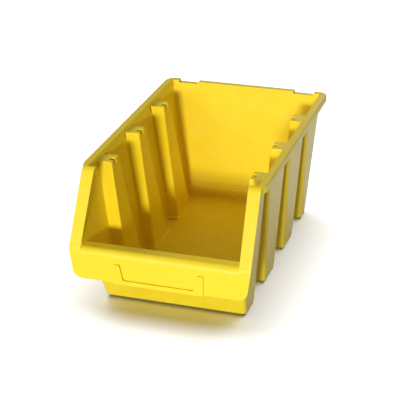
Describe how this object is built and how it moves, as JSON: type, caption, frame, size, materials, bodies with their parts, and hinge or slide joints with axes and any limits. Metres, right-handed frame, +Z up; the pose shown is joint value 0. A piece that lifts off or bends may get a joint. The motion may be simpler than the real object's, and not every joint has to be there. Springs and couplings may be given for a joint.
{
  "type": "stackable storage bin",
  "caption": "Open-front stackable storage bin with ribbed leaning sides, a label holder on a hanging front flange, rolled rims and a raised lip for hanging at the back.",
  "frame": {"origin": "middle of the footprint, on the surface that the bin stands on", "axes": "+Y towards the back wall and its hanging lip, so the open front faces -Y; +X to the right seen from the front; +Z up"},
  "size_m": [0.204, 0.34, 0.158],
  "materials": {
    "moulded_shell": "satin, fine moulded grain, solid yellow polypropylene"
  },
  "bodies": {
    "root": {"base_floor": "moulded_shell", "back_wall": "moulded_shell", "back_step": "moulded_shell", "front_wall": "moulded_shell", "front_flange": "moulded_shell", "front_sill": "moulded_shell", "label_holder": "moulded_shell", "hanging_lip": "moulded_shell", "right_post": "moulded_shell", "right_side_rim": "moulded_shell", "right_back_edge": "moulded_shell", "right_corner_rim": "moulded_shell", "right_panel_1": "moulded_shell", "right_panel_2": "moulded_shell", "right_panel_3": "moulded_shell", "right_panel_4": "moulded_shell", "right_foot_1": "moulded_shell", "right_foot_2": "moulded_shell", "right_foot_3": "moulded_shell", "right_foot_4": "moulded_shell", "right_rib_1": "moulded_shell", "right_rib_2": "moulded_shell", "right_rib_3": "moulded_shell", "left_post": "moulded_shell", "left_side_rim": "moulded_shell", "left_back_edge": "moulded_shell", "left_corner_rim": "moulded_shell", "left_panel_1": "moulded_shell", "left_panel_2": "moulded_shell", "left_panel_3": "moulded_shell", "left_panel_4": "moulded_shell", "left_foot_1": "moulded_shell", "left_foot_2": "moulded_shell", "left_foot_3": "moulded_shell", "left_foot_4": "moulded_shell", "left_rib_1": "moulded_shell", "left_rib_2": "moulded_shell", "left_rib_3": "moulded_shell"}
  },
  "joints": []
}
